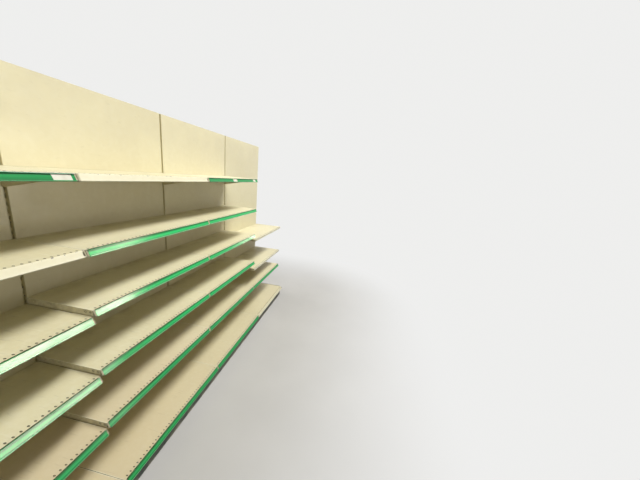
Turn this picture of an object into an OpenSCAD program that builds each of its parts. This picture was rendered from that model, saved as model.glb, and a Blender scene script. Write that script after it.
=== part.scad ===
// Steel shop shelving run of four bays, to stand along a wall.
// The run lies along X. Shoppers stand on the -Y side and the wall is on the +Y side.
// The origin is on the floor, in the middle of the run's width and depth.

/* [Run] */
// Width of one bay, between the middles of two uprights
bay_w = 1000; // [800:10:1300]
// Height of the uprights and the back panels
upright_h = 2400; // [2000:10:3000]
// Height of the base deck's top face above the floor
deck_z = 150; // [120:1:220]
// Distance from one slot in an upright to the next one up
slot_pitch = 35.5; // [29:0.5:43]
// Thickness of the sheet in shelves, decks, panels and kick plates
sheet_t = 0.8; // [0.6:0.1:1.2]

/* [Shelf trays] */
// Distance from the back panels to the top front edge of a shelf
shelf_reach = 412; // [300:1:480]
// Distance from the back panels to the top front edge of a base deck
base_reach = 496; // [400:1:600]
// Distance from the back panels to the front of a plain shelf
plain_reach = 417; // [300:1:480]
// Height of the sloping front hem
front_h = 36; // [30:1:44]
// Slope of the front hem away from upright
front_slope = 24; // [10:1:32]
// Clear width inside the hollow front hem
hem_gap = 8; // [5:0.5:12]
// Height of a plain shelf's straight front lip
plain_lip_h = 30; // [20:1:45]
// Depth of the turned-in bottom edge of a plain lip and of a kick plate
return_d = 12; // [8:1:20]
// Height of the side flanges
flange_h = 30; // [20:1:34]
// Radius of the side flanges' lower front corner
flange_r = 5; // [2:0.5:8]
// Gap between a side flange's front edge and the sloping front
flange_gap = 1; // [0.5:0.5:4]
// Height of the rear flange
rear_h = 25; // [15:1:34]
// Gap between neighbouring trays
tray_gap = 3; // [2:1:8]
// Gap between a tray and the back panel
rear_gap = 3; // [2:1:8]
// Outside radius of the bends
bend_r = 3; // [2:0.5:4]
// Depth of the stiffening channel under each tray
stiffener_h = 14; // [8:1:20]
// Width of the stiffening channel
stiffener_w = 30; // [20:1:60]
// Gap between a base foot and the flanges and channels under the trays
under_gap = 3; // [2:1:10]

/* [Holes in the trays] */
// Distance between two small holes in the row
hole_pitch = 25; // [20:1:50]
// Radius of the small holes
hole_r = 2.5; // [1.5:0.1:4]
// Distance from the tray's front edge to the row of small holes
hole_inset = 13; // [10:0.5:30]
// Distance from the tray's side to the first small hole, at least
hole_margin = 20; // [15:1:60]
// Radius of the fixing holes in the side flanges
fixing_r = 3.5; // [2:0.5:6]
// Distance from the front edge, and from the rear edge, to a fixing hole
fixing_inset = 45; // [40:1:90]
// Distance from the front edge to the fixing hole nearest to it
front_hole_inset = 15; // [13:1:30]
// Width of the upright slot at the right end of a sloping hem
hem_slot_w = 7; // [4:0.5:10]
// Height of that slot along the slope
hem_slot_h = 22; // [12:1:24]
// Distance from the tray's right end to the middle of that slot
hem_slot_inset = 10; // [8:0.5:30]

/* [Uprights and panels] */
// Width of the upright's tube along the run
upright_w = 30; // [28:1:50]
// Depth of the upright's tube towards the wall
upright_d = 60; // [40:1:90]
// Wall of the upright's tube
upright_t = 2; // [1.5:0.1:3]
// Outside radius of the upright's corners
upright_r = 4; // [3:0.5:4.5]
// Distance between the upright's two columns of slots
slot_spread = 12; // [10:0.5:14]
// Width of a slot
slot_w = 3.5; // [3:0.1:4]
// Height of a slot
slot_h = 20; // [18:0.5:24]
// Distance from the base deck to the bottom of the lowest slot
slot_start = 35; // [20:1:80]
// Plain length at the top of an upright, at least
slot_end = 30; // [20:1:80]
// Depth of the folded back panels
panel_d = 15; // [10:1:25]
// Gap between neighbouring back panels
panel_gap = 18; // [17:0.5:24]

/* [Brackets] */
// Thickness of a bracket
bracket_t = 2.5; // [2:0.1:3]
// Height of a bracket at its front end
bracket_tip_h = 22; // [15:1:28]
// Radius of a bracket's lower front corner
bracket_tip_r = 10; // [3:1:14]
// Distance from a shelf's front edge to the bracket's front end
bracket_tip_gap = 30; // [25:1:80]
// Height of a bracket below its lowest hook
bracket_foot = 14; // [8:1:30]
// Distance from the bottom of the top hook to the shelf's top face
seat_rise = 15; // [13:0.5:25]
// Height of a hook where it passes through its slot
hook_h = 10; // [6:0.5:12]
// Length of a hook's lip below its slot
hook_lip_h = 6; // [3:0.5:8]
// Thickness of a hook's lip behind the slotted wall
hook_lip_t = 3; // [2:0.5:5]
// Play between a hook's lip and the slotted wall
hook_play = 0.3; // [0.2:0.1:0.6]

/* [Base] */
// Thickness of the feet's steel
foot_t = 2; // [1.5:0.1:4]
// Height of the feet's underside above the floor
foot_lift = 16; // [13:1:30]
// Height of the cut-away at the feet's front end
foot_toe_h = 50; // [20:1:60]
// Length of the cut-away at the feet's front end
foot_toe_l = 25; // [10:1:40]
// Distance from the base deck's front edge back to the kick plate
kick_setback = 19; // [10:1:40]
// Gap between the front hem and the kick plate below it
kick_top_gap = 4; // [2:1:10]
// Gap between the kick plate and the floor
kick_floor_gap = 3; // [2:1:10]
// Radius of the levelling discs
disc_r = 18; // [12:1:24]
// Height of the levelling discs
disc_h = 6; // [4:1:8]
// Radius of the levelling screws
screw_r = 5; // [3:0.5:8]
// Radius of the levelling nuts, to their corners
nut_r = 9; // [8:0.5:14]
// Height of the levelling nuts
nut_h = 5; // [3:0.5:5]
// Distance from the ends of a foot's underside to its levelling screws
screw_inset = 27; // [25:1:80]

/* [Ticket strips] */
// Height of a ticket strip along the sloping front
strip_face = 37; // [28:1:42]
// Distance down the slope from the tray's edge to the strip
strip_drop = 2.5; // [0:0.5:6]
// Play between the sloping front and the strip's back
strip_play = 0.2; // [0.1:0.1:0.5]
// Thickness of a ticket strip's plastic
strip_t = 1.2; // [0.8:0.1:2]
// Depth of a ticket strip out from the sloping front
strip_out = 5.5; // [4:0.5:8]
// Straight height of the lips that hold the tickets, past their curl
strip_lip = 2.5; // [1:0.5:6]
// Distance from the bay line to a strip's end
strip_end_gap = 9; // [4:0.5:20]

/* [Hidden] */
$fn = 24;
// Straight steps that make up a bend, and those of a rolled or curled edge
bend_steps = 4;
curl_steps = 10;
cream = [0.84, 0.79, 0.64];
green = [0.12, 0.62, 0.36];
charcoal = [0.10, 0.13, 0.10];

// Slot number that each shelf's top hook sits in, from the top tier down, one list for each bay
LEVELS = [
  [49, 39, 29, 19, 9],
  [49, 39, 30, 20, 10],
  [49, 39, 30, 20, 10],
  [28, 17, 10]
];
// Which of those shelves carry a ticket strip
STRIPS = [
  [true, false, true, true, true],
  [false, true, true, true, true],
  [true, true, true, true, true],
  [false, false, true]
];
// Which base decks carry a ticket strip
BASE_STRIPS = [true, true, true, false];
// The last bay's shelves down to this tier have a straight front lip
plain_tiers = 2;
// Hooks on a bracket, one slot apart
hooks = 3;

bays = len(LEVELS);
tray_w = bay_w - tray_gap;
panel_w = bay_w - panel_gap;
first_slot_z = deck_z + slot_start;
slots = floor((upright_h - slot_end - slot_h - first_slot_z) / slot_pitch) + 1;
hem_r = (hem_gap + sheet_t) / 2;
carried_z = deck_z - sheet_t;
inner_half = bay_w / 2 - upright_w / 2 - foot_t - under_gap;
kick_y = base_reach - kick_setback;
foot_front = kick_y - return_d;
foot_back = panel_d + upright_d;
// Half the width of the slotted wall, which ends midway between its slots and the rounded corners
slotted_half = (upright_w / 2 - upright_r + (slot_spread + slot_w) / 2) / 2;
bracket_drop = seat_rise + (hooks - 1) * slot_pitch + bracket_foot;
strip_foot = strip_drop + strip_face;
// Outside radius of a strip's curled edges
curl_r = strip_out / 2;
front_most = base_reach + curl_r
  + (strip_foot - curl_r) * sin(front_slope) + (strip_play + curl_r) * cos(front_slope);
// Y of the back panels' front face, which centres the run's depth on the origin
panel_y = (front_most - foot_back) / 2;

// Sheet-metal sections: a line of points gets a thickness and becomes a closed outline
function unit(v) = v / norm(v);
function left_of(v) = [-v[1], v[0]];
function step_at(p, i) = unit(p[min(i + 1, len(p) - 1)] - p[min(i, len(p) - 2)]);
function side_point(p, i, h) =
  let (a = left_of(step_at(p, max(i - 1, 0))), b = left_of(step_at(p, i)), n = unit(a + b))
  p[i] + n * h / (n * a);
function ribbon(p, t) = concat(
  [for (i = [0 : len(p) - 1]) side_point(p, i, t / 2)],
  [for (i = [len(p) - 1 : -1 : 0]) side_point(p, i, -t / 2)]
);
function arc(c, r, a0, a1, n) = [for (i = [0 : n]) let (a = a0 + (a1 - a0) * i / n) c + r * [cos(a), sin(a)]];

// A line of points with its inner corners rounded, as a bending press leaves a sheet
function bend_at(p, i, r) =
  let (
    a = unit(p[i] - p[i - 1]),
    b = unit(p[i + 1] - p[i]),
    turn = atan2(left_of(a) * b, a * b),
    start = p[i] - r * tan(abs(turn) / 2) * a,
    c = start + sign(turn) * r * left_of(a),
    a0 = atan2(start[1] - c[1], start[0] - c[0])
  )
  arc(c, r, a0, a0 + turn, bend_steps);
function bent(p, r) = concat([p[0]], [for (i = [1 : len(p) - 2]) each bend_at(p, i, r)], [p[len(p) - 1]]);
function bent_sheet(p) = ribbon(bent(p, bend_r - sheet_t / 2), sheet_t);

// A point on a sloping front: s runs down the slope from the top edge, and n stands out of it
function on_front(reach, s, n) =
  [-reach, 0] + s * [-sin(front_slope), -cos(front_slope)] + n * [-cos(front_slope), sin(front_slope)];

// The tray's top sheet and its hollow, sloping front hem, seen from the end
function sloping_section(reach) =
  let (
    down = 90 - front_slope,
    edge = [-reach + sheet_t / 2 * (1 - sin(front_slope)) / cos(front_slope), -sheet_t / 2],
    nose_z = -front_h + hem_r + sheet_t / 2,
    nose_y = -reach + (hem_r + sheet_t / 2 + nose_z * sin(front_slope)) / cos(front_slope),
    nose = arc([nose_y, nose_z], hem_r, 90 + down, 270 + down, curl_steps),
    last = nose[len(nose) - 1],
    rise = -bend_r - last[1]
  )
  concat(
    bent([[-rear_gap, -sheet_t / 2], edge, nose[0]], bend_r - sheet_t / 2),
    [for (i = [1 : curl_steps]) nose[i]],
    [last + [rise * tan(front_slope), rise]]
  );

// The plain shelf's top sheet and its straight front lip, seen from the end
function plain_section(reach) =
  bent([
    [-rear_gap, -sheet_t / 2],
    [-reach + sheet_t / 2, -sheet_t / 2],
    [-reach + sheet_t / 2, -plain_lip_h + sheet_t / 2],
    [-reach + return_d, -plain_lip_h + sheet_t / 2]
  ], bend_r - sheet_t / 2);

// Draws a section, given as points of depth and height, along the run
module along_run(length) {
  rotate([90, 0, 90]) linear_extrude(height = length, center = true) children();
}

module in_bay(b) {
  translate([(b - (bays + 1) / 2) * bay_w, panel_y, 0]) children();
}

module at_upright(i) {
  translate([(i - 1 - bays / 2) * bay_w, panel_y, 0]) children();
}

function level_z(b, tier) = first_slot_z + LEVELS[b - 1][tier - 1] * slot_pitch + seat_rise;
function is_plain(b, tier) = b == bays && tier <= plain_tiers;

// Side flange behind the sloping front, where it closes the hem's end, or behind the straight lip
function flange_front(reach, sloping, z) =
  sloping ? -reach + (sheet_t + flange_gap) / cos(front_slope) + z * tan(front_slope) : -reach + bend_r;

module side_flanges(reach, sloping) {
  edge = [
    [flange_front(reach, sloping, 0), 0],
    [flange_front(reach, sloping, -flange_h), sloping ? -flange_h : -min(flange_h, plain_lip_h - bend_r)],
    [-rear_gap, -flange_h]
  ];
  for (side = [-1, 1])
    translate([side * (tray_w - sheet_t) / 2, 0, 0])
      along_run(sheet_t)
        polygon(concat([[-rear_gap, 0], edge[0]], bend_at(edge, 1, flange_r), [edge[2]]));
}

module rear_flange() {
  translate([0, -rear_gap - sheet_t / 2, -rear_h / 2]) cube([2 * inner_half, sheet_t, rear_h], center = true);
}

module stiffener(reach) {
  mid = -(reach + rear_gap) / 2;
  top = -1.5 * sheet_t;
  half = stiffener_w / 2;
  along_run(2 * inner_half)
    polygon(bent_sheet([
      [mid - half - return_d, top], [mid - half, top], [mid - half, -stiffener_h],
      [mid + half, -stiffener_h], [mid + half, top], [mid + half + return_d, top]
    ]));
}

module small_holes(reach) {
  steps = floor((tray_w - 2 * hole_margin) / hole_pitch);
  for (i = [0 : steps])
    translate([(i - steps / 2) * hole_pitch, -reach + hole_inset, -2 * sheet_t]) cylinder(r = hole_r, h = 3 * sheet_t);
}

module fixing_holes(reach) {
  for (y = [-reach + front_hole_inset, -reach + fixing_inset, -fixing_inset])
    translate([0, y, -flange_h / 2]) rotate([0, 90, 0]) cylinder(r = fixing_r, h = 2 * tray_w, center = true);
}

// Slot with round ends, through the front wall of the hollow hem
module hem_slot(reach) {
  mid = on_front(reach, front_h / 2, 0);
  straight = hem_slot_h - hem_slot_w;
  translate([tray_w / 2 - hem_slot_inset, mid[0], mid[1]])
    rotate([90 - front_slope, 0, 0]) {
      cube([hem_slot_w, straight, hem_gap], center = true);
      for (end = [-1, 1])
        translate([0, end * straight / 2, 0]) cylinder(r = hem_slot_w / 2, h = hem_gap, center = true);
    }
}

// A folded tray with its top face at height 0 and the back panel's face at depth 0
module tray(reach, sloping) {
  difference() {
    union() {
      along_run(tray_w) polygon(ribbon(sloping ? sloping_section(reach) : plain_section(reach), sheet_t));
      side_flanges(reach, sloping);
      rear_flange();
      stiffener(reach);
    }
    small_holes(reach);
    fixing_holes(reach);
    if (sloping) hem_slot(reach);
  }
}

module shelf(b, tier) {
  plain = is_plain(b, tier);
  color(cream)
    in_bay(b) translate([0, 0, level_z(b, tier)]) tray(plain ? plain_reach : shelf_reach, !plain);
}

module base_deck(b) {
  color(cream) in_bay(b) translate([0, 0, deck_z]) tray(base_reach, true);
}

// Front wall of an upright, with its two columns of slots
module slotted_wall(bottom) {
  translate([0, upright_t, 0])
    rotate([90, 0, 0])
      linear_extrude(height = upright_t)
        difference() {
          translate([-slotted_half, bottom]) square([2 * slotted_half, upright_h - bottom]);
          for (side = [-1, 1], i = [0 : slots - 1])
            translate([side * slot_spread / 2 - slot_w / 2, first_slot_z + i * slot_pitch]) square([slot_w, slot_h]);
        }
}

module upright(i) {
  bottom = foot_lift + foot_t;
  side = (upright_w - upright_t) / 2;
  front = upright_t / 2;
  back = upright_d - upright_t / 2;
  color(cream)
    at_upright(i)
      translate([0, panel_d, 0]) {
        slotted_wall(bottom);
        translate([0, 0, bottom])
          linear_extrude(height = upright_h - bottom)
            polygon(ribbon(bent([
              [-slotted_half, front], [-side, front], [-side, back],
              [side, back], [side, front], [slotted_half, front]
            ], upright_r - upright_t / 2), upright_t));
      }
}

module back_panel(b) {
  color(cream)
    in_bay(b)
      translate([-panel_w / 2, 0, carried_z])
        difference() {
          cube([panel_w, panel_d, upright_h - carried_z]);
          translate([sheet_t, sheet_t, sheet_t])
            cube([panel_w - 2 * sheet_t, panel_d, upright_h - carried_z - 2 * sheet_t]);
        }
}

module levelling_foot() {
  cylinder(r = disc_r, h = disc_h);
  cylinder(r = screw_r, h = foot_lift + foot_t / 2);
  translate([0, 0, foot_lift - nut_h]) cylinder(r = nut_r, h = nut_h, $fn = 6);
}

// Open channel that straddles the upright and carries the base decks on its top edges
module base_foot(i) {
  color(cream)
    at_upright(i) {
      for (side = [-1, 1])
        translate([side * (upright_w + foot_t) / 2, 0, 0])
          along_run(foot_t)
            polygon([
              [foot_back, foot_lift], [foot_back, carried_z], [-foot_front, carried_z],
              [-foot_front, foot_lift + foot_toe_h], [-foot_front + foot_toe_l, foot_lift]
            ]);
      translate([-upright_w / 2 - foot_t, -foot_front + foot_toe_l, foot_lift])
        cube([upright_w + 2 * foot_t, foot_back + foot_front - foot_toe_l, foot_t]);
      translate([0, -foot_front + foot_toe_l + screw_inset, 0]) levelling_foot();
      translate([0, foot_back - screw_inset, 0]) levelling_foot();
    }
}

module kick_plates() {
  top = deck_z - front_h - kick_top_gap;
  color(charcoal)
    for (b = [1 : bays])
      in_bay(b)
        along_run(tray_w)
          polygon(bent_sheet([
            [-kick_y + return_d, top - sheet_t / 2],
            [-kick_y + sheet_t / 2, top - sheet_t / 2],
            [-kick_y + sheet_t / 2, kick_floor_gap + sheet_t / 2],
            [-kick_y + return_d, kick_floor_gap + sheet_t / 2]
          ]));
}

// One bracket blade with its hooks, its top edge under the shelf's sheet
module bracket(reach) {
  tip = -reach + bracket_tip_gap;
  tip_low = -sheet_t - bracket_tip_h;
  sweep = atan((bracket_drop + tip_low) / -tip);
  along_run(bracket_t) {
    polygon(concat(
      [[panel_d, -sheet_t], [tip, -sheet_t]],
      arc([tip, tip_low] + bracket_tip_r * [1, 1], bracket_tip_r, 180, 270 - sweep, bend_steps),
      [[0, -bracket_drop], [panel_d, -bracket_drop]]
    ));
    for (k = [0 : hooks - 1])
      translate([panel_d, -seat_rise - k * slot_pitch]) {
        translate([-hook_h, 0]) square([hook_h + upright_t + hook_play + hook_lip_t, hook_h]);
        translate([upright_t + hook_play, -hook_lip_h]) square([hook_lip_t, hook_lip_h + hook_h]);
      }
  }
}

module brackets(b) {
  color(cream)
    in_bay(b)
      for (tier = [1 : len(LEVELS[b - 1])], side = [-1, 1])
        translate([side * (bay_w - slot_spread) / 2, 0, level_z(b, tier)])
          bracket(is_plain(b, tier) ? plain_reach : shelf_reach);
}

// A strip's back lies along the sloping front, and its two lips hold the tickets
module ticket_strip(reach) {
  head = strip_drop + curl_r;
  foot = strip_foot - curl_r;
  middle = strip_play + curl_r;
  r = curl_r - strip_t / 2;
  curl = [for (i = [0 : curl_steps]) 180 * i / curl_steps];
  along_run(bay_w - 2 * strip_end_gap)
    polygon(ribbon(concat(
      [on_front(reach, head + strip_lip, middle + r)],
      [for (a = curl) on_front(reach, head - r * sin(a), middle + r * cos(a))],
      [for (a = curl) on_front(reach, foot + r * sin(a), middle - r * cos(a))],
      [on_front(reach, foot - strip_lip, middle + r)]
    ), strip_t));
}

module ticket_strips(b) {
  color(green)
    in_bay(b) {
      for (tier = [1 : len(LEVELS[b - 1])])
        if (STRIPS[b - 1][tier - 1]) translate([0, 0, level_z(b, tier)]) ticket_strip(shelf_reach);
      if (BASE_STRIPS[b - 1]) translate([0, 0, deck_z]) ticket_strip(base_reach);
    }
}

upright(1);  // upright_1
upright(2);  // upright_2
upright(3);  // upright_3
upright(4);  // upright_4
upright(5);  // upright_5
base_foot(1);  // base_foot_1
base_foot(2);  // base_foot_2
base_foot(3);  // base_foot_3
base_foot(4);  // base_foot_4
base_foot(5);  // base_foot_5
back_panel(1);  // back_panel_1
back_panel(2);  // back_panel_2
back_panel(3);  // back_panel_3
back_panel(4);  // back_panel_4
base_deck(1);  // base_deck_1
base_deck(2);  // base_deck_2
base_deck(3);  // base_deck_3
base_deck(4);  // base_deck_4
kick_plates();
shelf(1, 1);  // bay_1_shelf_1
shelf(1, 2);  // bay_1_shelf_2
shelf(1, 3);  // bay_1_shelf_3
shelf(1, 4);  // bay_1_shelf_4
shelf(1, 5);  // bay_1_shelf_5
shelf(2, 1);  // bay_2_shelf_1
shelf(2, 2);  // bay_2_shelf_2
shelf(2, 3);  // bay_2_shelf_3
shelf(2, 4);  // bay_2_shelf_4
shelf(2, 5);  // bay_2_shelf_5
shelf(3, 1);  // bay_3_shelf_1
shelf(3, 2);  // bay_3_shelf_2
shelf(3, 3);  // bay_3_shelf_3
shelf(3, 4);  // bay_3_shelf_4
shelf(3, 5);  // bay_3_shelf_5
shelf(4, 1);  // bay_4_shelf_1
shelf(4, 2);  // bay_4_shelf_2
shelf(4, 3);  // bay_4_shelf_3
brackets(1);  // brackets_1
brackets(2);  // brackets_2
brackets(3);  // brackets_3
brackets(4);  // brackets_4
ticket_strips(1);  // ticket_strips_1
ticket_strips(2);  // ticket_strips_2
ticket_strips(3);  // ticket_strips_3
ticket_strips(4);  // ticket_strips_4
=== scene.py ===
"""Looks of a steel shop shelving run: four bays of cream trays with green ticket strips.

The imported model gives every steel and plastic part. This script finishes their surfaces, adds the paper
tickets that sit in the strips, and sets up the floor, the lamps and the camera. Lengths are in metres.
"""
import math

import bmesh
import bpy
from mathutils import Matrix, Vector


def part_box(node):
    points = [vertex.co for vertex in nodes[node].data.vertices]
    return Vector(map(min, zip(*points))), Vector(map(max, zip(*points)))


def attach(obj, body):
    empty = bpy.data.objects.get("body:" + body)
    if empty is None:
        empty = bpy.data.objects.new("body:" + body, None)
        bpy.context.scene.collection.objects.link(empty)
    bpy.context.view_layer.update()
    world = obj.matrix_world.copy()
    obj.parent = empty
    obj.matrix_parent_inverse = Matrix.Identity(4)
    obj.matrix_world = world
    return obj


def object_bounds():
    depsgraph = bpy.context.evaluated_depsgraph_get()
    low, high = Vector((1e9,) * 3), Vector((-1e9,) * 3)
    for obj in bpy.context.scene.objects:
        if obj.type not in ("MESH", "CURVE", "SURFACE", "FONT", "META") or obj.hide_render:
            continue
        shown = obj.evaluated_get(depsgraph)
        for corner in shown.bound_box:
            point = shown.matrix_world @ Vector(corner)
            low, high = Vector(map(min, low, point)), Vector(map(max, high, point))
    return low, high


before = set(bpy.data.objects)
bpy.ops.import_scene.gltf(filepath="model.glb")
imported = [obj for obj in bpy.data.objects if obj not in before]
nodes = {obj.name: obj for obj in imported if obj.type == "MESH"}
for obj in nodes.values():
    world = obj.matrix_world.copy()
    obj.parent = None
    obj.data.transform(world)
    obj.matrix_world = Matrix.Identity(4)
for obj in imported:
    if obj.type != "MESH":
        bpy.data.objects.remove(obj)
cad_low, cad_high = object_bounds()

# Driving sizes of the run
BAY_WIDTH = 1.0
FRONT_SLOPE = math.radians(24)
SLOPE_SIN = math.sin(FRONT_SLOPE)
SLOPE_COS = math.cos(FRONT_SLOPE)
SHELF_REACH = 0.412
BASE_REACH = 0.496
PANEL_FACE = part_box("back_panel_1")[0].y
TRAYS = {name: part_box(name) for name in nodes if name.startswith(("bay_", "base_deck"))}

# Below the first height a foot is only its levelling screws and nuts, and below the second only their discs
FOOT_LIFT = 0.016
DISC_HEIGHT = 0.006
SPLIT_PLAY = 1e-5
# Corners of a tray this close below its highest one belong to its flat top
FLAT_PLAY = 1e-6

# The row of small holes: its pitch, and how far it runs behind the end of a tray's flat top
HOLE_PITCH = 0.025
ROW_INSET = 0.01105
PLAIN_ROW_INSET = 0.010
# The flanges' fixing holes: how far below a tray's top, and how far behind the row of small holes
FIXING_FALL = 0.015
FIXING_STEPS = (0.002, 0.032)

# A mark on a surface comes up between the two values of a pair: there is none at the first one.
# By the depth behind the line where a tray's flat top ends
HEM = (0.001, -0.002)
NOSE = (-0.010, -0.015)
BEND_FROM_HEM = (-0.0045, -0.0025)
BEND_FROM_TOP = (0.002, 0.0)
DIRT_SHADE_LINE_TOP = (-0.0006, -0.0012)
DIRT_SHADE_LINE_FOOT = (-0.0060, -0.0050)
BACK_EDGE = (0.27, 0.40)
# By the distance from a bay line, where two trays meet
SIDE_EDGE = (0.0055, 0.0035)
HEM_END = (0.015, 0.006)
STRIP_END = (0.009, 0.012)
FIRST_HOLE = (0.018, 0.021)
SLOTS_INNER = (0.003, 0.0045)
SLOTS_OUTER = (0.0095, 0.008)
# By the distance from the middle of a hole
HOLE_RIM = (0.0047, 0.0036)
FIXING_RIM = (0.0075, 0.0050)
# By the height above the floor
FLOOR_SPLASHES = (0.10, 0.015)
KICK_DUST = (0.05, 0.004)
LOW_TIERS = (0.75, 0.5)
DARKER_LOW_TIERS = (1.1, 0.45)
TOP_TIER = (1.75, 1.85)
PANEL_TOPS = (1.9, 2.3)
# By the fall down a ticket strip's slope
GROOVE_TOP = (0.0285, 0.0305)
GROOVE_FOOT = (0.0345, 0.0335)
CURL_SHADE = (0.0200, 0.0090)
# By how squarely a surface faces up or along the run
UPWARD = (0.6, 0.9)
SIDEWAYS = (0.7, 0.95)
# By the distance from the run, over the floor
FLOOR_FADE = (0.3, 2.4)

# Along the run, dust, the dirt of hands and the painted shade that goes with them grow less from the first
# place of a pair to the second
DUSTY_SHADED_BAYS = (-1.0, 0.8)
HANDLED_SHADED_BAYS = (-0.7, 0.0)

# A small hole's rim of dirt and painted shade is measured with these factors along the run and across it
RIM_ALONG = 1.15
RIM_ACROSS = 0.66
# Farther than any hole or edge that is looked for
FAR = 1.0

# The camera that the photograph was taken with, for a frame of 640 by 480
FRAME_WIDTH = 640
FOCAL_PIXELS = 256.3
CAMERA_PLACE = Vector((-1.977, -1.4557, 2.019))
CAMERA_TURN = math.radians(8.331)
CAMERA_PITCH = math.radians(-13.459)
CAMERA_ROLL = math.radians(5.528)
SENSOR_WIDTH = 36.0
CLIP_START = 0.02


def srgb(red, green, blue):
    """A colour written as 0 to 255 screen values, as the linear colour that the shaders take."""
    linear = [
        c / 12.92 if c <= 0.04045 else ((c + 0.055) / 1.055) ** 2.4
        for c in (red / 255, green / 255, blue / 255)
    ]
    return (*linear, 1.0)


CREAM = srgb(221, 213, 175)
CREAM_PALE = srgb(229, 225, 200)
CREAM_DULL = srgb(207, 197, 159)
EDGE_PALE = srgb(240, 236, 212)
GRIME = srgb(112, 98, 70)
DUST = srgb(178, 168, 142)
FLOOR_DUST_AND_SHADE = srgb(203, 177, 138)
HOLE_DIRT_AND_SHADE = srgb(26, 19, 11)
STEEL = srgb(120, 118, 112)
ZINC = srgb(176, 176, 170)
ZINC_STAINED = srgb(128, 124, 112)
BLACK = srgb(26, 26, 25)
GREEN = srgb(10, 184, 88)
GREEN_FADED = srgb(32, 198, 106)
GREEN_CUT = srgb(120, 200, 146)
GREEN_SOILED_SHADE = srgb(24, 56, 18)
GREEN_SHADED = srgb(8, 84, 38)
GREEN_DARKER = srgb(8, 118, 56)
GREEN_STREAK = srgb(30, 216, 110)
GREEN_SMEARED = srgb(150, 200, 160)
GREEN_WORN_HIGHLIGHT = srgb(150, 220, 160)
KICK = srgb(30, 36, 31)
KICK_FADED = srgb(44, 50, 43)
SHOE_MARK = srgb(104, 104, 96)
PAPER = srgb(216, 212, 194)
PAPER_YELLOWED = srgb(203, 197, 176)
FLOOR_PALE = srgb(188, 186, 181)
FLOOR_PALER = srgb(194, 192, 187)
FLOOR_BELOW = srgb(140, 138, 132)
BACKDROP = (0.86, 0.86, 0.85, 1.0)
WORLD_LIGHT = (0.95, 0.94, 0.90, 1.0)
WORLD_STRENGTH = 0.08
REFLECTED_LAMP = (1.0, 0.91, 0.76)
ENAMEL_IOR = 1.5
PLASTIC_IOR = 1.48


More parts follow.
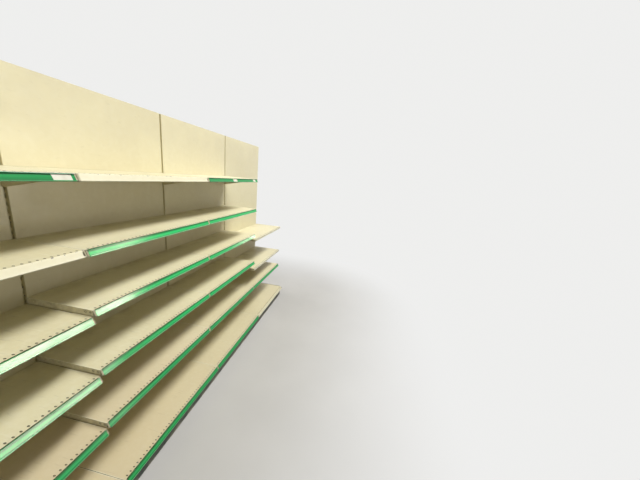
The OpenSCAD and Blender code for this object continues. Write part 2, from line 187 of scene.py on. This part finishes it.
class Finish:
    """A node material built step by step. Most methods add nodes and give the socket of the result."""

    # Nearly all of a noise lies between these values
    NOISE_SPREAD = (0.3, 0.7)
    # Which of a Mix node's sockets are the two colours and the mixed one
    MIX_COLOURS = (6, 7)
    MIX_RESULT = 2
    # Specular level where nothing takes the shine off
    FULL_SHINE = 0.5
    # Noise above which paint is worn off, how much more wear lowers that, and how soft the patches' edges are
    WEAR_START = 0.66
    WEAR_DROP = 0.2
    WEAR_FRINGE = 0.04

    def __init__(self, name):
        self.material = bpy.data.materials.new(name)
        self.material.use_nodes = True
        self.tree = self.material.node_tree
        self.surface = self.tree.nodes["Principled BSDF"]
        coordinates = self.node("ShaderNodeTexCoord")
        self.place = coordinates.outputs["Object"]
        self.within = coordinates.outputs["Generated"]
        self.normal = self.node("ShaderNodeNewGeometry").outputs["Normal"]
        self.random = self.node("ShaderNodeObjectInfo").outputs["Random"]

    def node(self, kind, **settings):
        made = self.tree.nodes.new(kind)
        for key, value in settings.items():
            setattr(made, key, value)
        return made

    def feed(self, socket, value):
        """Links a socket to another one, or sets it to a plain value."""
        if isinstance(value, bpy.types.NodeSocket):
            self.tree.links.new(value, socket)
        else:
            socket.default_value = value

    def math(self, operation, first, second=0.0):
        made = self.node("ShaderNodeMath", operation=operation)
        self.feed(made.inputs[0], first)
        self.feed(made.inputs[1], second)
        return made.outputs[0]

    def times(self, *factors):
        """The product of all the factors."""
        product = factors[0]
        for factor in factors[1:]:
            product = self.math("MULTIPLY", product, factor)
        return product

    def plus(self, value, amount, share):
        """The value, raised by a share of the amount."""
        return self.math("ADD", value, self.times(amount, share))

    def distance(self, first, second):
        """How far away a point is that lies first along one axis and second along another."""
        return self.math("SQRT", self.math("ADD", self.times(first, first), self.times(second, second)))

    def part(self, vector, axis):
        """One axis, "X", "Y" or "Z", of a vector."""
        made = self.node("ShaderNodeSeparateXYZ")
        self.feed(made.inputs[0], vector)
        return made.outputs[axis]

    def ramp(self, value, low, high, start=0.0, end=1.0):
        """start up to low, end from high on, and a smooth rise between them."""
        made = self.node("ShaderNodeMapRange", interpolation_type="SMOOTHSTEP")
        for socket, given in zip(made.inputs, (value, low, high, start, end)):
            self.feed(socket, given)
        return made.outputs[0]

    def noise(self, scale, detail, stretch=(1, 1, 1), shift=(0, 0, 0)):
        """Noise of about scale blobs a metre and detail finer layers, squeezed by stretch along each axis."""
        mapping = self.node("ShaderNodeMapping")
        self.feed(mapping.inputs["Vector"], self.place)
        mapping.inputs["Scale"].default_value = stretch
        mapping.inputs["Location"].default_value = shift
        made = self.node("ShaderNodeTexNoise")
        self.feed(made.inputs["Vector"], mapping.outputs[0])
        made.inputs["Scale"].default_value = scale
        made.inputs["Detail"].default_value = detail
        return made.outputs[0]

    def patches(self, scale, detail, none, full, least=0.0, most=1.0, **noise):
        """Patches: the value is least where the noise is under none, and most where it is over full."""
        return self.ramp(self.noise(scale, detail, **noise), none, full, least, most)

    def wander(self, scale, detail, least=0.0, most=1.0, **noise):
        """A value that wanders all the way between least and most."""
        return self.patches(scale, detail, *self.NOISE_SPREAD, least, most, **noise)

    def mix(self, amount, first, second):
        """The first colour where amount is 0, and the second where it is 1."""
        made = self.node("ShaderNodeMix", data_type="RGBA")
        self.feed(made.inputs["Factor"], amount)
        for index, colour in zip(self.MIX_COLOURS, (first, second)):
            self.feed(made.inputs[index], colour)
        return made.outputs[self.MIX_RESULT]

    def tint(self, colour, other, *amounts, strength=1.0):
        """The colour with some of another one: as much as the product of the amounts and the strength."""
        if strength != 1.0:
            amounts = (*amounts, strength)
        return self.mix(self.times(*amounts), colour, other)

    def bump(self, height, depth, after=None):
        """A bump of that depth in metres, on top of an earlier one."""
        made = self.node("ShaderNodeBump")
        self.feed(made.inputs["Height"], height)
        made.inputs["Distance"].default_value = depth
        if after is not None:
            self.feed(made.inputs["Normal"], after)
        return made.outputs[0]

    def wear(self, amount, band):
        """Broken patches along a band: amount 0 gives almost none, and more the larger it is."""
        none = self.WEAR_START - self.WEAR_DROP * amount
        return self.times(self.patches(55, 5, none=none, full=none + self.WEAR_FRINGE), band)

    def dull(self, amount):
        """Takes the shine off where amount is 1."""
        level = self.ramp(amount, 0.0, 1.0, self.FULL_SHINE, 0.0)
        self.feed(self.surface.inputs["Specular IOR Level"], level)

    def finish(self, colour, roughness, normal=None):
        """Feeds the surface and gives the finished material."""
        self.feed(self.surface.inputs["Base Color"], colour)
        self.feed(self.surface.inputs["Roughness"], roughness)
        if normal is not None:
            self.feed(self.surface.inputs["Normal"], normal)
        return self.material


class TrayFinish(Finish):
    """A finish that knows where on a tray it is: along the run, behind its front, above the floor, away from
    a bay line and on its top.
    """

    def __init__(self, name, node):
        super().__init__(name)
        self.along = self.part(self.place, "X")
        self.depth = self.math("SUBTRACT", self.part(self.place, "Y"), flat_front(node))
        self.height = self.part(self.place, "Z")
        self.from_line = self.math("PINGPONG", self.along, BAY_WIDTH / 2)
        self.top = self.ramp(self.part(self.normal, "Z"), *UPWARD)


def flat_front(name):
    """Y at which a tray's flat top ends and its front bend begins."""
    corners = [v.co for v in nodes[name].data.vertices]
    top = max(c.z for c in corners)
    return min(c.y for c in corners if c.z > top - FLAT_PLAY)


def cream(made, scale, least=0.0, most=1.0):
    """Cream paint that is duller in places, about scale of them a metre."""
    return made.mix(made.wander(scale, 4, least, most), CREAM, CREAM_DULL)


def powder_coat(made, colour, roughness):
    """Common end of the enamel finishes: the fine orange peel of a powder coat over slightly wavy sheet."""
    normal = made.bump(made.noise(6, 1), depth=0.0007)
    normal = made.bump(made.noise(420, 2), depth=0.00005, after=normal)
    made.surface.inputs["IOR"].default_value = ENAMEL_IOR
    return made.finish(colour, roughness, normal)


def top_wear_dust_and_shade(made, back):
    """Paint of a tray's top, with the strokes of goods, brown dust and painted shade low down, and grey dust
    and painted shade at the back.
    """
    colour = cream(made, 1.7, most=0.55)
    colour = made.tint(colour, CREAM_PALE, made.random, strength=0.3)
    colour = made.tint(colour, CREAM_PALE, made.patches(34, 5, none=0.42, full=0.68, most=0.22))
    # Goods pulled forward leave fine pale strokes and a few darker ones
    worn = made.patches(2.6, 3, none=0.4, full=0.65, shift=(4, 0, 1))
    strokes = made.patches(13, 4, none=0.54, full=0.70, most=0.3, stretch=(9, 0.6, 1))
    colour = made.tint(colour, CREAM_PALE, strokes, worn, made.top)
    strokes = made.patches(15, 4, none=0.60, full=0.74, most=0.16, stretch=(8, 0.7, 1), shift=(3, 5, 0))
    colour = made.tint(colour, GRIME, strokes, made.top)
    # Brown dust from the floor settles on the low tiers, most at the run's near end; it is painted shade
    # there as well, darkening the low tiers and the near bays
    low = made.ramp(made.height, *LOW_TIERS, end=0.4)
    near = made.ramp(made.along, *DUSTY_SHADED_BAYS, start=1.0, end=0.25)
    colour = made.tint(colour, FLOOR_DUST_AND_SHADE, low, made.top, near)
    # Painted shade with the dust: the back of the top is darker
    return made.tint(colour, DUST, back)


def front_wear_highlights_and_shade(made, colour, bend, lined):
    """A tray's hem, painted paler than its top partly as the light its face catches, with painted highlights
    along its nose and on the bend, which hands polish. Gives the colour and where dirt and painted shade
    darken it.
    """
    hem = made.ramp(made.depth, *HEM)
    # Painted light in part: the hem's face is paler than the top
    colour = made.tint(colour, CREAM_PALE, hem, strength=0.3)
    # Painted highlight along the hem's rounded nose
    colour = made.tint(colour, CREAM_PALE, made.ramp(made.depth, *NOSE), strength=0.35)
    # Painted highlight on the bend
    colour = made.tint(colour, CREAM_PALE, bend, strength=0.15)
    colour = made.tint(colour, STEEL, made.wear(0.25, bend))
    # Dirt and painted shade: the hem darkens towards its ends at a bay line, where its open ends lie in shade
    dirt_and_shade = made.times(hem, made.ramp(made.from_line, *HEM_END))
    colour = made.tint(colour, GRIME, dirt_and_shade, strength=0.5)
    if not lined:
        return colour, dirt_and_shade
    # A dark line of dirt and painted shade runs along the hem above the strip, strongest in the near bays and
    # the tiers in reach
    line = made.times(
        made.ramp(made.depth, *DIRT_SHADE_LINE_TOP),
        made.ramp(made.depth, *DIRT_SHADE_LINE_FOOT),
        made.ramp(made.from_line, *STRIP_END),
        made.ramp(made.along, *HANDLED_SHADED_BAYS, start=1.0, end=0.3),
        made.ramp(made.height, *TOP_TIER, start=1.0, end=0.5),
        made.patches(30, 4, none=0.2, full=0.5, least=0.65, most=0.95),
    )
    return made.tint(colour, GREEN_SOILED_SHADE, line), made.math("MAXIMUM", dirt_and_shade, line)


def hole_rims(made, row_inset):
    """Rims of dirt and painted shade round the small holes, drawn out forwards by goods, and none at a bay
    line.
    """
    along = made.times(made.math("PINGPONG", made.along, HOLE_PITCH / 2), RIM_ALONG)
    across = made.times(made.math("SUBTRACT", made.depth, row_inset), RIM_ACROSS)
    rim = made.ramp(made.distance(along, across), *HOLE_RIM)
    return made.times(rim, made.ramp(made.from_line, *FIRST_HOLE))


def side_dirt_shade_and_highlight(made, colour, node, row_inset):
    """A tray's side edges, worn pale and painted paler as a highlight, and its flanges, stained, most of all
    round the fixing holes, where dirt and painted shade make dark rims.
    """
    edge = made.ramp(made.from_line, *SIDE_EDGE)
    # Painted highlight on top of wear: the top is paler along a bay line
    colour = made.tint(colour, EDGE_PALE, edge, made.top, strength=0.7)
    flange = made.ramp(made.math("ABSOLUTE", made.part(made.normal, "X")), *SIDEWAYS)
    stains = made.patches(22, 5, none=0.35, full=0.65, least=0.06, most=0.36, shift=(7, 2, 0))
    colour = made.tint(colour, GRIME, flange, stains)
    low, high = TRAYS[node]
    fall = made.times(made.math("SUBTRACT", 1.0, made.part(made.within, "Z")), high.z - low.z)
    below = made.math("SUBTRACT", fall, FIXING_FALL)
    nearest = FAR
    for step in FIXING_STEPS:
        behind = made.math("SUBTRACT", made.depth, row_inset + step)
        nearest = made.math("MINIMUM", nearest, made.distance(below, behind))
    # Painted shade on top of dirt: dark rims round the fixing holes
    return made.tint(colour, HOLE_DIRT_AND_SHADE, made.ramp(nearest, *FIXING_RIM), flange, strength=0.85)


def tray_enamel(name, node, row_inset, lined=True):
    """Enamel of the trays: worn where goods slide, dusty and shaded behind, paler in front with painted
    highlights, and dark round the holes with dirt and painted shade.

    A lined tray has carried a ticket strip, which leaves a line of dirt and painted shade along its upper
    edge.
    """
    made = TrayFinish(name, node)
    # Dust along the back edge, where nobody wipes, and painted shade where the tray meets the panel
    back = made.patches(9, 5, none=0.3, full=0.65)
    back = made.times(made.ramp(made.depth, *BACK_EDGE), back, made.top, 0.5)
    # The bend between top and hem is a little polished by hands, and painted paler as a highlight
    bend = made.times(made.ramp(made.depth, *BEND_FROM_HEM), made.ramp(made.depth, *BEND_FROM_TOP))
    colour, dirt_and_shade = front_wear_highlights_and_shade(made, top_wear_dust_and_shade(made, back), bend, lined)
    rims = hole_rims(made, row_inset)
    made.dull(made.math("MAXIMUM", dirt_and_shade, rims))
    # Painted shade on top of dirt: the rims make the holes as dark as the shade below them
    colour = side_dirt_shade_and_highlight(made, made.tint(colour, HOLE_DIRT_AND_SHADE, rims), node, row_inset)
    roughness = made.plus(made.wander(5, 5, least=0.36, most=0.48), back, 0.5)
    return powder_coat(made, colour, made.plus(roughness, bend, -0.04))


def panel_enamel():
    """Enamel of the back panels: even, with a few scuffs from goods, and dusty high up."""
    made = Finish("panel_enamel")
    colour = cream(made, 1.2, least=0.5)
    colour = made.tint(colour, CREAM_PALE, made.random, strength=0.15)
    colour = made.tint(colour, CREAM_PALE, made.patches(28, 5, none=0.42, full=0.68, most=0.12))
    # Dust on the upper part, which goods don't rub
    high = made.ramp(made.part(made.place, "Z"), *PANEL_TOPS)
    colour = made.tint(colour, DUST, high, made.wander(7, 5, least=0.2, most=0.6), strength=0.35)
    scuffs = made.patches(26, 6, none=0.60, full=0.78, most=0.08, stretch=(1, 1, 2))
    colour = made.tint(colour, GRIME, scuffs)
    return powder_coat(made, colour, made.wander(6, 4, least=0.42, most=0.55))


def upright_enamel():
    """Enamel of the uprights, scraped by hooks between the slots."""
    made = Finish("upright_enamel")
    colour = cream(made, 2.4, most=0.6)
    colour = made.tint(colour, CREAM_PALE, made.patches(40, 4, none=0.45, full=0.68, most=0.2))
    across = made.math("PINGPONG", made.part(made.place, "X"), BAY_WIDTH / 2)
    band = made.times(made.ramp(across, *SLOTS_INNER), made.ramp(across, *SLOTS_OUTER))
    colour = made.tint(colour, STEEL, made.wear(0.35, band))
    return powder_coat(made, colour, made.wander(8, 4, least=0.38, most=0.5))


def bracket_enamel():
    """Enamel of the brackets, with scratches from hanging and lifting."""
    made = Finish("bracket_enamel")
    scratches = made.patches(30, 4, none=0.62, full=0.70, most=0.5, stretch=(1, 0.4, 3))
    colour = made.tint(cream(made, 5), GRIME, scratches)
    return powder_coat(made, colour, made.wander(12, 4, least=0.36, most=0.5))


def foot_enamel():
    """Enamel of the feet, with floor dirt splashed up them."""
    made = Finish("foot_enamel")
    low = made.ramp(made.part(made.place, "Z"), *FLOOR_SPLASHES)
    dirt = made.times(made.patches(18, 6, none=0.35, full=0.65), low)
    colour = made.tint(cream(made, 3), GRIME, dirt, strength=0.7)
    return powder_coat(made, colour, made.plus(0.42, dirt, 0.3))


def zinc():
    """Zinc plating of the levelling screws and nuts, dull and stained."""
    made = Finish("zinc")
    colour = made.mix(made.patches(60, 4, none=0.4, full=0.65), ZINC, ZINC_STAINED)
    made.surface.inputs["Metallic"].default_value = 1.0
    normal = made.bump(made.noise(300, 2), depth=0.0001)
    return made.finish(colour, made.wander(90, 3, least=0.3, most=0.5), normal)


def disc_plastic():
    """Black moulded plastic of the levelling discs, with floor dust on it."""
    made = Finish("disc_plastic")
    colour = made.mix(made.patches(40, 5, none=0.4, full=0.7, most=0.5), BLACK, DUST)
    normal = made.bump(made.noise(500, 2), depth=0.0001)
    return made.finish(colour, made.wander(50, 4, least=0.45, most=0.65), normal)


def kick_enamel():
    """Dark enamel of the kick plates, scuffed by shoes and dusty at the floor."""
    made = Finish("kick_enamel")
    colour = made.mix(made.wander(4, 4), KICK, KICK_FADED)
    scuffs = made.patches(20, 6, none=0.60, full=0.68, most=0.55, stretch=(0.35, 1, 3))
    colour = made.tint(colour, SHOE_MARK, scuffs)
    low = made.ramp(made.part(made.place, "Z"), *KICK_DUST)
    dust = made.times(made.patches(14, 6, none=0.3, full=0.65), low)
    colour = made.tint(colour, DUST, dust, strength=0.6)
    return powder_coat(made, colour, made.plus(0.4, dust, 0.35))


def tray_edges(bay):
    """Depth and height of the line where the sloping front of each tray of a bay begins."""
    return [
        (PANEL_FACE - (BASE_REACH if tray.startswith("base") else SHELF_REACH), box[1].z)
        for tray, box in TRAYS.items()
        if tray.startswith("bay_" + bay) or tray == "base_deck_" + bay
    ]


def strip_fall(made):
    """Distance down the slope, from the tray's edge above, of a point on a ticket strip."""
    backward = made.times(made.part(made.place, "Y"), SLOPE_SIN)
    upward = made.times(made.part(made.place, "Z"), SLOPE_COS)
    level = made.math("ADD", backward, upward)
    falls = []
    for bay in ("1", "2"):
        nearest = FAR
        for edge, top in tray_edges(bay):
            fall = made.math("SUBTRACT", edge * SLOPE_SIN + top * SLOPE_COS, level)
            # An edge that the point isn't below is put out of the way
            aside = made.times(made.math("LESS_THAN", fall, 0.0), 10 * FAR)
            nearest = made.math("MINIMUM", nearest, made.math("ADD", fall, aside))
        falls.append(nearest)
    # The first bay's trays stand at their own heights, and the others all at the second one's
    first = made.math("LESS_THAN", made.part(made.place, "X"), -BAY_WIDTH)
    others = made.math("SUBTRACT", 1.0, first)
    return made.math("ADD", made.times(falls[0], first), made.times(falls[1], others))


def strip_plastic(name, fresh, faded, grooved=False):
    """Glossy green plastic with the fine lengthwise lines of an extrusion, faded and a little smeared."""
    made = Finish(name)
    faded_patches = made.patches(0.9, 3, none=0.35, full=0.7, most=0.6, stretch=(0.6, 1, 4))
    colour = made.mix(faded_patches, fresh, faded)
    # The strips on the top tier and on the lowest ones are darker
    height = made.part(made.place, "Z")
    top_darker = made.ramp(height, *TOP_TIER, end=0.85)
    low_darker = made.ramp(height, *DARKER_LOW_TIERS, end=0.45)
    colour = made.tint(colour, GREEN_DARKER, made.math("MAXIMUM", top_darker, low_darker))
    # Card edges rub fine lines along the face
    streaks = made.noise(30, 3, stretch=(0.03, 12, 12))
    colour = made.tint(colour, GREEN_STREAK, made.ramp(streaks, 0.50, 0.66, end=0.4))
    colour = made.tint(colour, GREEN_DARKER, made.ramp(streaks, 0.50, 0.36, end=0.25))
    # Dirt gathers below the upper curl and above the lower lip, and both places are darkened with painted
    # shade too
    if grooved:
        fall = strip_fall(made)
        groove = made.times(made.ramp(fall, *GROOVE_TOP), made.ramp(fall, *GROOVE_FOOT))
        dirt = made.math("MAXIMUM", groove, made.ramp(fall, *CURL_SHADE))
        colour = made.tint(colour, GREEN_SHADED, dirt, strength=0.7)
    smears = made.patches(13, 5, none=0.56, full=0.75, most=0.07, stretch=(0.6, 2, 2))
    colour = made.tint(colour, GREEN_SMEARED, smears)
    normal = made.bump(made.noise(30, 2, stretch=(0.02, 18, 18)), depth=0.00002)
    normal = made.bump(made.noise(5, 2), depth=0.0012, after=normal)
    made.surface.inputs["IOR"].default_value = PLASTIC_IOR
    return made.finish(colour, made.wander(7, 5, least=0.13, most=0.19), normal)


def lip_dirt_and_shade():
    """The strips' upper curl and grooves, where dust and the dirt of hands settle and painted shade darkens
    them, least in the far bays.
    """
    made = Finish("lip_dirt_and_shade")
    # Dark green of dirt and painted shade
    colour = made.mix(made.wander(24, 5, most=0.45, stretch=(0.5, 1, 1)), GREEN_SOILED_SHADE, GREEN)
    less_dirt_and_shade = made.ramp(made.part(made.place, "X"), *HANDLED_SHADED_BAYS, end=0.6)
    colour = made.tint(colour, GREEN, less_dirt_and_shade)
    made.surface.inputs["Specular IOR Level"].default_value = 0.03
    normal = made.bump(made.noise(400, 2), depth=0.00003)
    return made.finish(colour, made.wander(30, 4, least=0.5, most=0.7), normal)


def ticket_paper():
    """Blank card, a little yellowed and handled."""
    made = Finish("ticket_paper")
    colour = made.mix(made.patches(30, 4, none=0.35, full=0.7), PAPER, PAPER_YELLOWED)
    fibres = made.noise(900, 2)
    roughness = made.ramp(fibres, *made.NOISE_SPREAD, start=0.55, end=0.7)
    return made.finish(colour, roughness, made.bump(fibres, depth=0.00003))


# A foot's materials, in the order in which it holds them
FOOT_SHEET, FOOT_DISC, FOOT_SCREW = range(3)


def foot_part(place):
    """Which of a foot's materials a face has."""
    if place.z > FOOT_LIFT - SPLIT_PLAY:
        return FOOT_SHEET
    return FOOT_DISC if place.z < DISC_HEIGHT + SPLIT_PLAY else FOOT_SCREW


# A ticket strip's materials, in the order in which it holds them
STRIP_FACE, STRIP_CUT, STRIP_SOILED_SHADE, STRIP_WORN_HIGHLIGHT = range(4)
# A face whose normal has more than this along the run is where a strip was cut off
CUT_NORMAL = 0.9
# All of a ticket strip lies within this fall down the slope from its tray's edge, and this far out from it
STRIP_DROP = 0.045
STRIP_DEPTH = 0.010
# Above this fall is the upper curl, and below it the lower lip
STRIP_MIDDLE = 0.020
# Where the face between them begins and ends, and how far out it lies at most
FACE_TOP = 0.0062
FACE_FOOT = 0.0355
FACE_OUT = 0.0029
# The curl has neither dirt nor painted shade farther out than this
CURL_OUT = 0.0054
# The lip is rubbed pale, and painted paler as a highlight, below this fall and farther out than this
LIP_FOOT = 0.0385
LIP_OUT = 0.0044


def strip_part(bay, place):
    """Which of a ticket strip's materials a face along the strip has."""
    for edge, top in tray_edges(bay):
        forward, fall = edge - place.y, top - place.z
        down = forward * SLOPE_SIN + fall * SLOPE_COS
        out = forward * SLOPE_COS - fall * SLOPE_SIN
        if 0 < down < STRIP_DROP and 0 < out < STRIP_DEPTH:
            upper = down < STRIP_MIDDLE
            if FACE_TOP < down < FACE_FOOT and out < FACE_OUT or upper and out > CURL_OUT:
                return STRIP_FACE
            # Painted highlight on top of wear: the lower lip's free end and front wall are pale
            pale_lip_highlight = not upper and (out > LIP_OUT or down > LIP_FOOT)
            return STRIP_WORN_HIGHLIGHT if pale_lip_highlight else STRIP_SOILED_SHADE
    return STRIP_FACE


def dress_nodes():
    """Gives every CAD node its finish, and the small metal and plastic faces of feet and strips their own."""
    bare_shelf = [tray_enamel("bare_enamel", "bay_1_shelf_1", ROW_INSET, lined=False)]
    plain_shelf = [tray_enamel("plain_enamel", "bay_4_shelf_1", PLAIN_ROW_INSET, lined=False)]
    # A key stands for all nodes that begin with it, unless a longer key does so too
    finishes = {
        "upright": [upright_enamel()],
        "brackets": [bracket_enamel()],
        "base_foot": [foot_enamel(), disc_plastic(), zinc()],
        "back_panel": [panel_enamel()],
        "base_deck": [tray_enamel("deck_enamel", "base_deck_1", ROW_INSET)],
        "base_deck_4": [tray_enamel("bare_deck_enamel", "base_deck_1", ROW_INSET, lined=False)],
        "bay": [tray_enamel("shelf_enamel", "bay_1_shelf_1", ROW_INSET)],
        "bay_1_shelf_2": bare_shelf,
        "bay_2_shelf_1": bare_shelf,
        "bay_4_shelf_1": plain_shelf,
        "bay_4_shelf_2": plain_shelf,
        "kick_plates": [kick_enamel()],
        "ticket_strips": [
            strip_plastic("strip_plastic", GREEN, GREEN_FADED, grooved=True),
            strip_plastic("strip_cut", GREEN_CUT, GREEN_FADED),
            # The upper curl and grooves: dirt and painted shade
            lip_dirt_and_shade(),
            # The lower lip: worn plastic with a painted highlight
            strip_plastic("lip_wear_and_highlight", GREEN_WORN_HIGHLIGHT, GREEN_CUT),
        ],
    }
    starts = sorted(finishes, key=len, reverse=True)
    for name, piece in nodes.items():
        start = next(key for key in starts if name.startswith(key))
        piece.data.materials.clear()
        for material in finishes[start]:
            piece.data.materials.append(material)
        for face in piece.data.polygons:
            face.material_index = 0
            if start == "base_foot":
                face.material_index = foot_part(face.center)
            if start == "ticket_strips":
                cut = abs(face.normal.x) > CUT_NORMAL
                face.material_index = STRIP_CUT if cut else strip_part(name[-1], face.center)


# A card's mesh cells across and down, its size, and how far its top edge lies down the slope and out of it
CARD_CELLS = (8, 12)
CARD_THICK = 0.00025
CARD_HEIGHT = 0.0328
CARD_DOWN = 0.0046
CARD_OUT = 0.00165
# How far a card that leans by 1 is shifted sideways from top to bottom
CARD_SKEW = 0.012


def front_point(top, down, out):
    """Depth and height of a point on a shelf's sloping front, down from its top edge and out of it."""
    y = PANEL_FACE - SHELF_REACH - down * SLOPE_SIN - out * SLOPE_COS
    z = top - down * SLOPE_COS + out * SLOPE_SIN
    return y, z


def ticket(name, shelf, x, width, bow, lean, finish):
    """A blank card bowed between the lips of a ticket strip, x at its middle."""
    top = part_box(shelf)[1].z
    columns, rows = CARD_CELLS
    mesh = bmesh.new()

    def corner(i, j, side):
        across, fall = i / columns - 0.5, j / rows
        rise = bow * math.sin(math.pi * fall) * (1 + lean * across)
        y, z = front_point(top, CARD_DOWN + CARD_HEIGHT * fall, CARD_OUT + rise + side * CARD_THICK)
        return mesh.verts.new((x + across * width + lean * CARD_SKEW * (fall - 0.5), y, z))

    back, front = [
        [[corner(i, j, side) for j in range(rows + 1)] for i in range(columns + 1)]
        for side in (0, 1)
    ]
    for i in range(columns):
        for j in range(rows):
            mesh.faces.new((front[i][j], front[i][j + 1], front[i + 1][j + 1], front[i + 1][j]))
            mesh.faces.new((back[i][j], back[i + 1][j], back[i + 1][j + 1], back[i][j + 1]))
    outline = [(i, 0) for i in range(columns)] + [(columns, j) for j in range(rows)]
    outline += [(i, rows) for i in range(columns, 0, -1)] + [(0, j) for j in range(rows, 0, -1)]
    for (i, j), (k, m) in zip(outline, outline[1:] + outline[:1]):
        mesh.faces.new((front[i][j], front[k][m], back[k][m], back[i][j]))
    bmesh.ops.recalc_face_normals(mesh, faces=mesh.faces)
    data = bpy.data.meshes.new(name)
    mesh.to_mesh(data)
    mesh.free()
    data.materials.append(finish)
    made = bpy.data.objects.new(name, data)
    bpy.context.scene.collection.objects.link(made)
    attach(made, "root")


def tickets():
    """The three cards on the top tier."""
    card = ticket_paper()
    ticket("ticket_1", "bay_1_shelf_1", x=-1.060, width=0.073, bow=0.0006, lean=0.2, finish=card)
    ticket("ticket_2", "bay_3_shelf_1", x=0.450, width=0.078, bow=0.0005, lean=0.9, finish=card)
    ticket("ticket_3", "bay_3_shelf_1", x=0.900, width=0.060, bow=0.0007, lean=0.9, finish=card)


def seen(tree):
    """1 for the rays that show a surface or its mirror image, 0 for those that light the object."""
    path = tree.nodes.new("ShaderNodeLightPath")
    total = path.outputs["Is Camera Ray"]
    for name in ("Is Glossy Ray", "Is Transmission Ray"):
        larger = tree.nodes.new("ShaderNodeMath")
        larger.operation = "MAXIMUM"
        tree.links.new(total, larger.inputs[0])
        tree.links.new(path.outputs[name], larger.inputs[1])
        total = larger.outputs[0]
    return total


def choose_shader(tree, amount, first, second, output):
    """Sends the first shader to the output where amount is 0, and the second where it is 1."""
    choose = tree.nodes.new("ShaderNodeMixShader")
    for socket, given in zip(choose.inputs, (amount, first, second)):
        tree.links.new(given, socket)
    tree.links.new(choose.outputs[0], tree.nodes[output].inputs[0])


def background():
    """Pale background, and a weak even light from all sides."""
    scene = bpy.context.scene
    scene.view_settings.view_transform = "Standard"
    world = bpy.data.worlds.new("studio")
    scene.world = world
    world.use_nodes = True
    tree = world.node_tree
    light = tree.nodes["Background"]
    light.inputs["Color"].default_value = WORLD_LIGHT
    light.inputs["Strength"].default_value = WORLD_STRENGTH
    shown = tree.nodes.new("ShaderNodeBackground")
    shown.inputs["Color"].default_value = BACKDROP
    choose_shader(tree, seen(tree), light.outputs[0], shown.outputs[0], "World Output")


def lay_floor():
    """Pale floor, which fades into the background away from the run, so that no horizon shows."""
    bpy.ops.mesh.primitive_plane_add(size=120, location=(0, 0, 0))
    floor = bpy.context.object
    floor.name = "floor"
    made = Finish("floor")
    tree = made.tree
    # What lights the object from below is darker than what the camera sees, so that the shadows stay deep
    colour = made.mix(made.wander(1.2, 4), FLOOR_PALE, FLOOR_PALER)
    made.finish(made.mix(seen(tree), FLOOR_BELOW, colour), roughness=0.8)
    aside = []
    for axis, half in (("X", cad_high.x), ("Y", cad_high.y)):
        beyond = made.math("SUBTRACT", made.math("ABSOLUTE", made.part(made.place, axis)), half)
        aside.append(made.math("MAXIMUM", beyond, 0.0))
    fade = made.times(made.ramp(made.distance(*aside), *FLOOR_FADE), seen(tree))
    glow = made.node("ShaderNodeEmission")
    glow.inputs["Color"].default_value = BACKDROP
    choose_shader(tree, fade, made.surface.outputs[0], glow.outputs[0], "Material Output")
    floor.data.materials.append(made.material)


# Y of the lamps that show only as reflections
ACROSS_AISLE = -3.5


def lamp(name, place, size, power, target, gloss=True, matt=True):
    """A soft lamp that points at the target. gloss and matt say which kinds of surface it lights."""
    data = bpy.data.lights.new(name, "AREA")
    data.shape = "RECTANGLE"
    data.size, data.size_y = size
    data.energy = power
    if not matt:
        data.color = REFLECTED_LAMP
    made = bpy.data.objects.new(name, data)
    made.location = place
    made.rotation_euler = (Vector(target) - Vector(place)).to_track_quat("-Z", "Y").to_euler()
    made.visible_camera = False
    made.visible_glossy = gloss
    made.visible_diffuse = matt
    bpy.context.scene.collection.objects.link(made)


def reflected_lamp(name, x, z, size, power, target):
    """A lamp across the aisle that lights no matt surface and shows only as a reflection."""
    lamp(name, (x, ACROSS_AISLE, z), size, power, target, matt=False)


def lamps():
    """Soft lamps over the aisle, behind the run and at its ends, and lamps that mirror in the strips."""
    lamp("aisle_lamp", place=(0.8, -2.9, 6.2), size=(6.0, 0.56), power=462, target=(0, 0, 0.9))
    lamp("wall_side_lamp", place=(0.5, 3.6, 3.0), size=(4.0, 1.5), power=90, target=(0, 0, 1.0))
    for name, side in (("left_lamp", -1), ("right_lamp", 1)):
        place, target = (side * 5.0, -1.4, 2.4), (side * 1.5, 0, 1.1)
        lamp(name, place=place, size=(2.0, 2.0), power=26, target=target, gloss=False)
    reflected_lamp("high_lamp", x=0.66, z=2.16, size=(2.3, 0.34), power=76, target=(-0.4, 0, 1.3))
    reflected_lamp("low_lamp", x=0.2, z=1.01, size=(1.8, 0.22), power=43, target=(-0.8, 0, 1.0))
    reflected_lamp("far_lamp", x=2.3, z=3.33, size=(1.0, 0.26), power=12, target=(-0.8, 0, 1.6))
    reflected_lamp("end_lamp", x=7.9, z=2.22, size=(1.2, 0.26), power=16, target=(0.9, 0, 1.3))
    reflected_lamp("foot_lamp", x=0.85, z=0.43, size=(0.4, 0.3), power=1.4, target=(-0.8, 0, 0.5))


def camera():
    """Camera at the photograph's place, turned from the run's length towards the wall, tipped and rolled."""
    ahead = Vector((
        math.cos(CAMERA_TURN) * math.cos(CAMERA_PITCH),
        math.sin(CAMERA_TURN) * math.cos(CAMERA_PITCH),
        math.sin(CAMERA_PITCH),
    ))
    level = Vector((math.sin(CAMERA_TURN), -math.cos(CAMERA_TURN), 0))
    upright = level.cross(ahead)
    right = math.cos(CAMERA_ROLL) * level + math.sin(CAMERA_ROLL) * upright
    up = math.cos(CAMERA_ROLL) * upright - math.sin(CAMERA_ROLL) * level
    data = bpy.data.cameras.new("photo_camera")
    data.sensor_width = SENSOR_WIDTH
    data.lens = SENSOR_WIDTH * FOCAL_PIXELS / FRAME_WIDTH
    data.clip_start = CLIP_START
    made = bpy.data.objects.new("photo_camera", data)
    made.matrix_world = Matrix.Translation(CAMERA_PLACE) @ Matrix((right, up, -ahead)).transposed().to_4x4()
    bpy.context.scene.collection.objects.link(made)
    bpy.context.scene.camera = made


camera()
dress_nodes()
tickets()
background()
lay_floor()
lamps()
